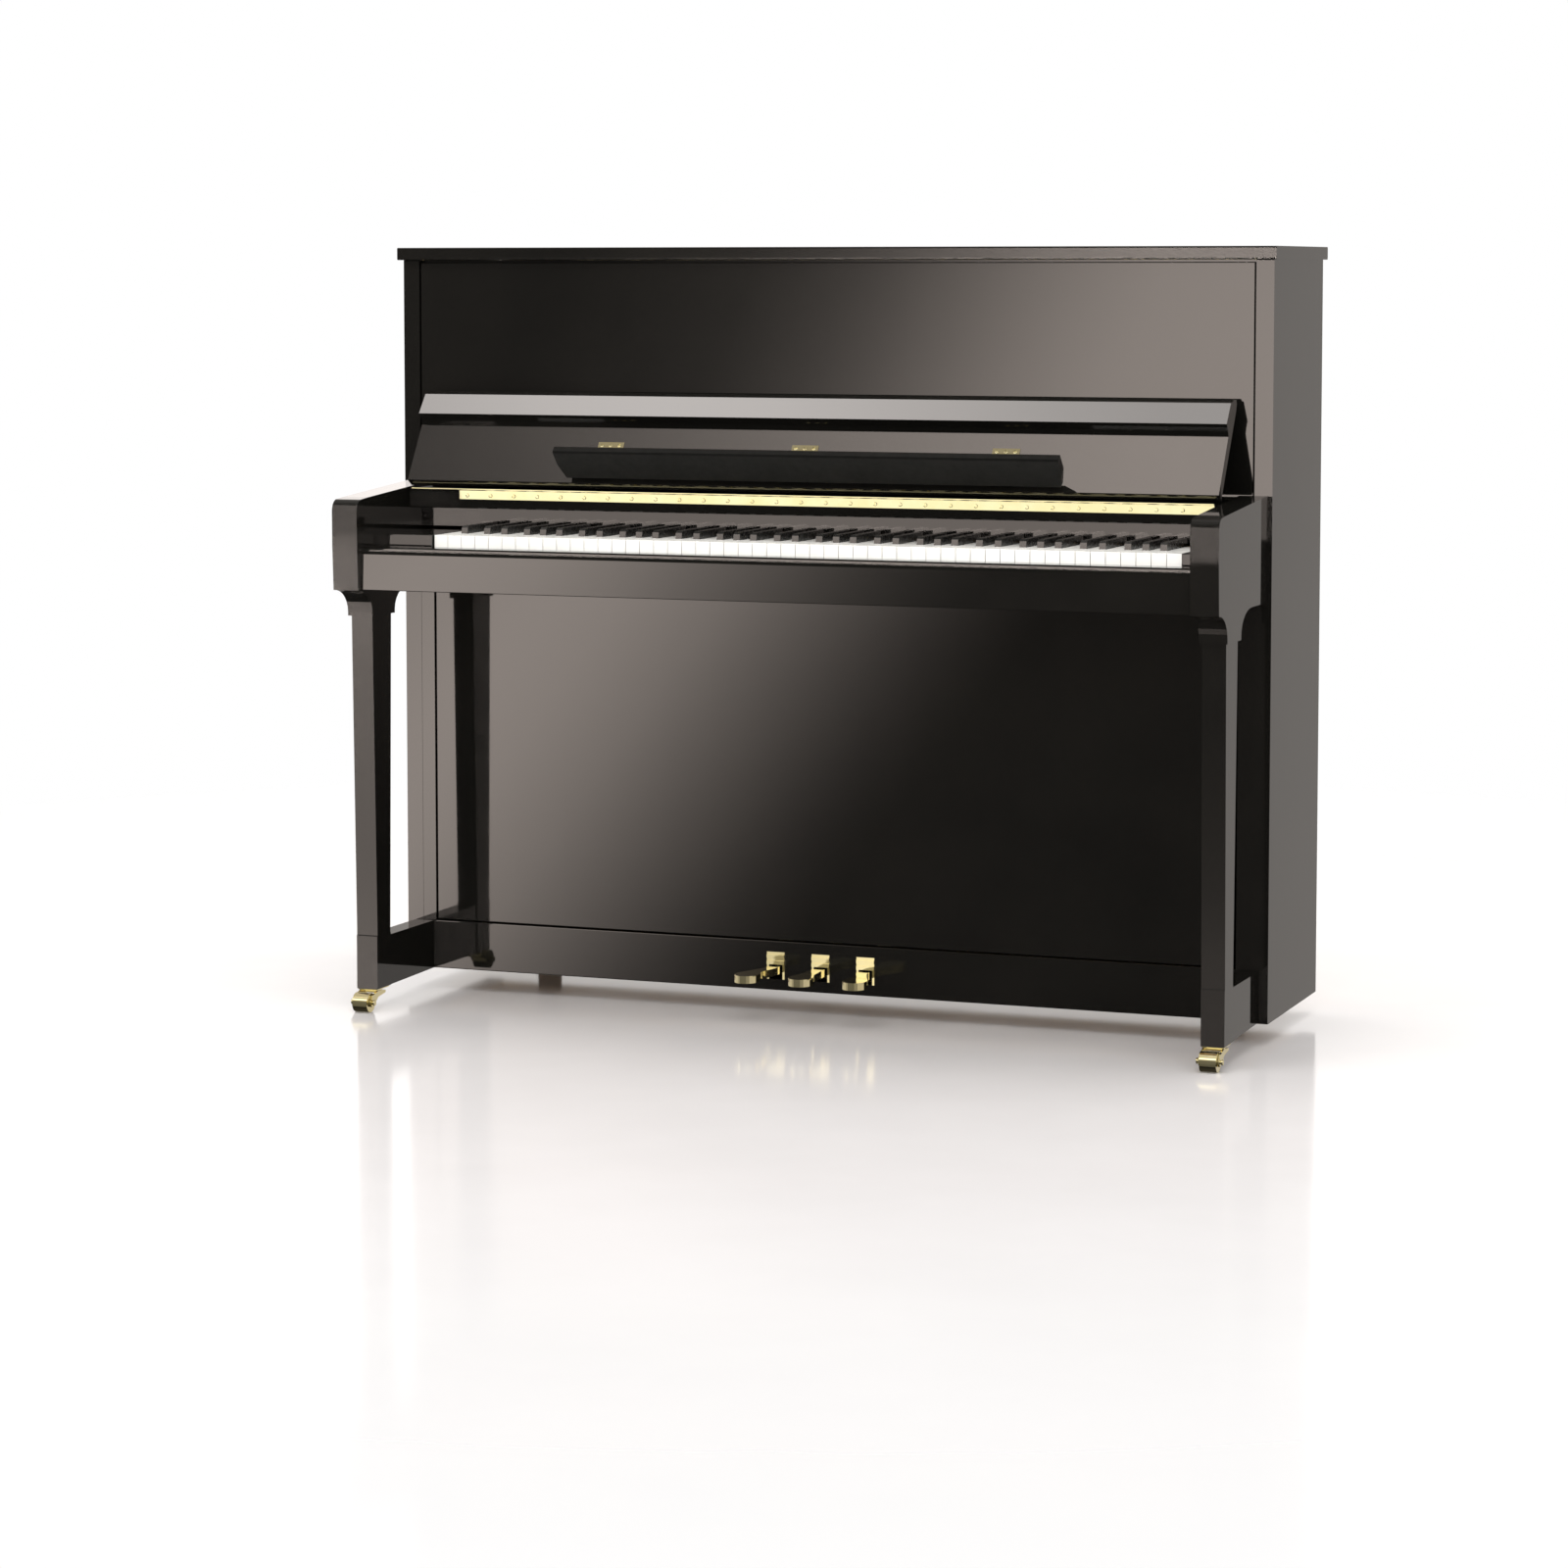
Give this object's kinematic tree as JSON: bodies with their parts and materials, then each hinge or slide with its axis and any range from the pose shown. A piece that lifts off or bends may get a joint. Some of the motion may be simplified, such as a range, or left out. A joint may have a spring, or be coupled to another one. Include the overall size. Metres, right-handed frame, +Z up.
{
  "type": "upright piano",
  "caption": "Upright piano with a polished black case, square legs on brass rollers, an open fallboard with folding music ledge, keys and pedals.",
  "frame": {"origin": "middle of the footprint on the floor", "axes": "+X to the right seen from the player (treble), +Y to the back, +Z up"},
  "size_m": [1.472, 0.599, 1.224],
  "materials": {
    "black_polish": "black polyester lacquer, mirror polished",
    "black_satin": "black lacquer, satin",
    "key_white": "white key covering, satin to gloss",
    "key_black": "black key covering, semi-matt",
    "brass": "polished and lacquered",
    "timber": "planed, clear sealed",
    "spruce": "quarter-sawn spruce, varnished",
    "action_metal": "cast and drawn, matt",
    "iron": "bronze-coloured paint",
    "wire": "drawn steel wire",
    "hammer_felt": "white wool felt on maple",
    "damper_felt": "red felt on maple",
    "foot_rubber": "black rubber"
  },
  "bodies": {
    "case": {"side_left": "black_polish", "side_right": "black_polish", "lid_hinge": "brass", "upper_panel": "black_polish", "lower_panel": "black_polish", "bottom_rail": "black_polish", "stiles": "black_polish", "bottom_board": "timber", "keybed": "timber", "key_slip": "black_polish", "key_block_left": "black_polish", "key_block_right": "black_polish", "arm_left": "black_polish", "arm_right": "black_polish", "leg_left": "black_polish", "leg_right": "black_polish", "toe_block_left": "black_polish", "toe_block_right": "black_polish", "caster_fork_left": "brass", "caster_fork_right": "brass", "rear_foot_left": "foot_rubber", "rear_foot_right": "foot_rubber", "hinge_rail": "black_polish", "fall_leaf": "brass", "nameboard": "black_polish", "pedal_plates": "brass", "key_frame": "timber", "action_rail": "action_metal", "hammers": "hammer_felt", "dampers": "damper_felt", "iron_plate": "iron", "strings": "wire", "soundboard": "spruce", "back_frame": "timber"},
    "lid_body": {"lid": "black_polish"},
    "fallboard_body": {"fallboard": "black_polish", "fall_lip": "black_polish", "ledge_hinges": "brass"},
    "ledge_body": {"music_ledge": "black_satin"},
    "pedal_left_body": {"pedal_left": "brass"},
    "pedal_middle_body": {"pedal_middle": "brass"},
    "pedal_right_body": {"pedal_right": "brass"},
    "roller_left_body": {"caster_roller_left": "brass"},
    "roller_right_body": {"caster_roller_right": "brass"},
    "white_keys_bass_body": {"white_keys_bass": "key_white"},
    "black_keys_bass_body": {"black_keys_bass": "key_black"},
    "white_keys_treble_body": {"white_keys_treble": "key_white"},
    "black_keys_treble_body": {"black_keys_treble": "key_black"},
    "white_key_c_body": {"white_key_c": "key_white"},
    "white_key_d_body": {"white_key_d": "key_white"},
    "white_key_e_body": {"white_key_e": "key_white"},
    "white_key_f_body": {"white_key_f": "key_white"},
    "white_key_g_body": {"white_key_g": "key_white"},
    "white_key_a_body": {"white_key_a": "key_white"},
    "white_key_b_body": {"white_key_b": "key_white"},
    "black_key_cs_body": {"black_key_cs": "key_black"},
    "black_key_ds_body": {"black_key_ds": "key_black"},
    "black_key_fs_body": {"black_key_fs": "key_black"},
    "black_key_gs_body": {"black_key_gs": "key_black"},
    "black_key_as_body": {"black_key_as": "key_black"}
  },
  "joints": [
    {"name": "fallboard_hinge", "type": "hinge", "parent": "case", "child": "fallboard_body", "pos_m": [0, -0.1121, 0.836], "axis": [1, 0, 0], "range_deg": [0, 128]},
    {"name": "ledge_fold", "type": "hinge", "parent": "fallboard_body", "child": "ledge_body", "pos_m": [0, -0.11924, 0.86424], "axis": [-1, 0, 0], "range_deg": [0, 74.2]},
    {"name": "lid_hinge_joint", "type": "hinge", "parent": "case", "child": "lid_body", "pos_m": [0, 0.2959, 1.2054], "axis": [-1, 0, 0], "range_deg": [0, 90]},
    {"name": "pedal_left_press", "type": "hinge", "parent": "case", "child": "pedal_left_body", "pos_m": [-0.077, 0.1005, 0.078], "axis": [1, 0, 0], "range_deg": [0, 3.5], "stiffness_Nm_per_rad": 60, "springref_deg": -3.44},
    {"name": "pedal_middle_press", "type": "hinge", "parent": "case", "child": "pedal_middle_body", "pos_m": [-0.0005, 0.1005, 0.078], "axis": [1, 0, 0], "range_deg": [0, 3.5], "stiffness_Nm_per_rad": 60, "springref_deg": -3.44},
    {"name": "pedal_right_press", "type": "hinge", "parent": "case", "child": "pedal_right_body", "pos_m": [0.0755, 0.1005, 0.078], "axis": [1, 0, 0], "range_deg": [0, 3.5], "stiffness_Nm_per_rad": 60, "springref_deg": -3.44},
    {"name": "caster_left_spin", "type": "hinge", "parent": "case", "child": "roller_left_body", "pos_m": [-0.69975, -0.2455, 0.0155], "axis": [1, 0, 0], "continuous": true},
    {"name": "caster_right_spin", "type": "hinge", "parent": "case", "child": "roller_right_body", "pos_m": [0.69975, -0.2455, 0.0155], "axis": [1, 0, 0], "continuous": true},
    {"name": "press_white_keys_bass", "type": "hinge", "parent": "case", "child": "white_keys_bass_body", "pos_m": [0, -0.0045, 0.744], "axis": [1, 0, 0], "range_deg": [0, 2.5], "stiffness_Nm_per_rad": 27.6, "springref_deg": -6.88},
    {"name": "press_black_keys_bass", "type": "hinge", "parent": "case", "child": "black_keys_bass_body", "pos_m": [0, -0.0045, 0.744], "axis": [1, 0, 0], "range_deg": [0, 2.5], "stiffness_Nm_per_rad": 19.2, "springref_deg": -6.88},
    {"name": "press_white_keys_treble", "type": "hinge", "parent": "case", "child": "white_keys_treble_body", "pos_m": [0, -0.0045, 0.744], "axis": [1, 0, 0], "range_deg": [0, 2.5], "stiffness_Nm_per_rad": 26.4, "springref_deg": -6.88},
    {"name": "press_black_keys_treble", "type": "hinge", "parent": "case", "child": "black_keys_treble_body", "pos_m": [0, -0.0045, 0.744], "axis": [1, 0, 0], "range_deg": [0, 2.5], "stiffness_Nm_per_rad": 18, "springref_deg": -6.88},
    {"name": "press_white_key_c", "type": "hinge", "parent": "case", "child": "white_key_c_body", "pos_m": [0, -0.0045, 0.744], "axis": [1, 0, 0], "range_deg": [0, 2.5], "stiffness_Nm_per_rad": 1.2, "springref_deg": -6.88},
    {"name": "press_white_key_d", "type": "hinge", "parent": "case", "child": "white_key_d_body", "pos_m": [0, -0.0045, 0.744], "axis": [1, 0, 0], "range_deg": [0, 2.5], "stiffness_Nm_per_rad": 1.2, "springref_deg": -6.88},
    {"name": "press_white_key_e", "type": "hinge", "parent": "case", "child": "white_key_e_body", "pos_m": [0, -0.0045, 0.744], "axis": [1, 0, 0], "range_deg": [0, 2.5], "stiffness_Nm_per_rad": 1.2, "springref_deg": -6.88},
    {"name": "press_white_key_f", "type": "hinge", "parent": "case", "child": "white_key_f_body", "pos_m": [0, -0.0045, 0.744], "axis": [1, 0, 0], "range_deg": [0, 2.5], "stiffness_Nm_per_rad": 1.2, "springref_deg": -6.88},
    {"name": "press_white_key_g", "type": "hinge", "parent": "case", "child": "white_key_g_body", "pos_m": [0, -0.0045, 0.744], "axis": [1, 0, 0], "range_deg": [0, 2.5], "stiffness_Nm_per_rad": 1.2, "springref_deg": -6.88},
    {"name": "press_white_key_a", "type": "hinge", "parent": "case", "child": "white_key_a_body", "pos_m": [0, -0.0045, 0.744], "axis": [1, 0, 0], "range_deg": [0, 2.5], "stiffness_Nm_per_rad": 1.2, "springref_deg": -6.88},
    {"name": "press_white_key_b", "type": "hinge", "parent": "case", "child": "white_key_b_body", "pos_m": [0, -0.0045, 0.744], "axis": [1, 0, 0], "range_deg": [0, 2.5], "stiffness_Nm_per_rad": 1.2, "springref_deg": -6.88},
    {"name": "press_black_key_cs", "type": "hinge", "parent": "case", "child": "black_key_cs_body", "pos_m": [0, -0.0045, 0.744], "axis": [1, 0, 0], "range_deg": [0, 2.5], "stiffness_Nm_per_rad": 1.2, "springref_deg": -6.88},
    {"name": "press_black_key_ds", "type": "hinge", "parent": "case", "child": "black_key_ds_body", "pos_m": [0, -0.0045, 0.744], "axis": [1, 0, 0], "range_deg": [0, 2.5], "stiffness_Nm_per_rad": 1.2, "springref_deg": -6.88},
    {"name": "press_black_key_fs", "type": "hinge", "parent": "case", "child": "black_key_fs_body", "pos_m": [0, -0.0045, 0.744], "axis": [1, 0, 0], "range_deg": [0, 2.5], "stiffness_Nm_per_rad": 1.2, "springref_deg": -6.88},
    {"name": "press_black_key_gs", "type": "hinge", "parent": "case", "child": "black_key_gs_body", "pos_m": [0, -0.0045, 0.744], "axis": [1, 0, 0], "range_deg": [0, 2.5], "stiffness_Nm_per_rad": 1.2, "springref_deg": -6.88},
    {"name": "press_black_key_as", "type": "hinge", "parent": "case", "child": "black_key_as_body", "pos_m": [0, -0.0045, 0.744], "axis": [1, 0, 0], "range_deg": [0, 2.5], "stiffness_Nm_per_rad": 1.2, "springref_deg": -6.88}
  ],
  "couplings": [
    {"joint": "ledge_fold", "follows": "fallboard_hinge", "ratio": 0.578}
  ]
}
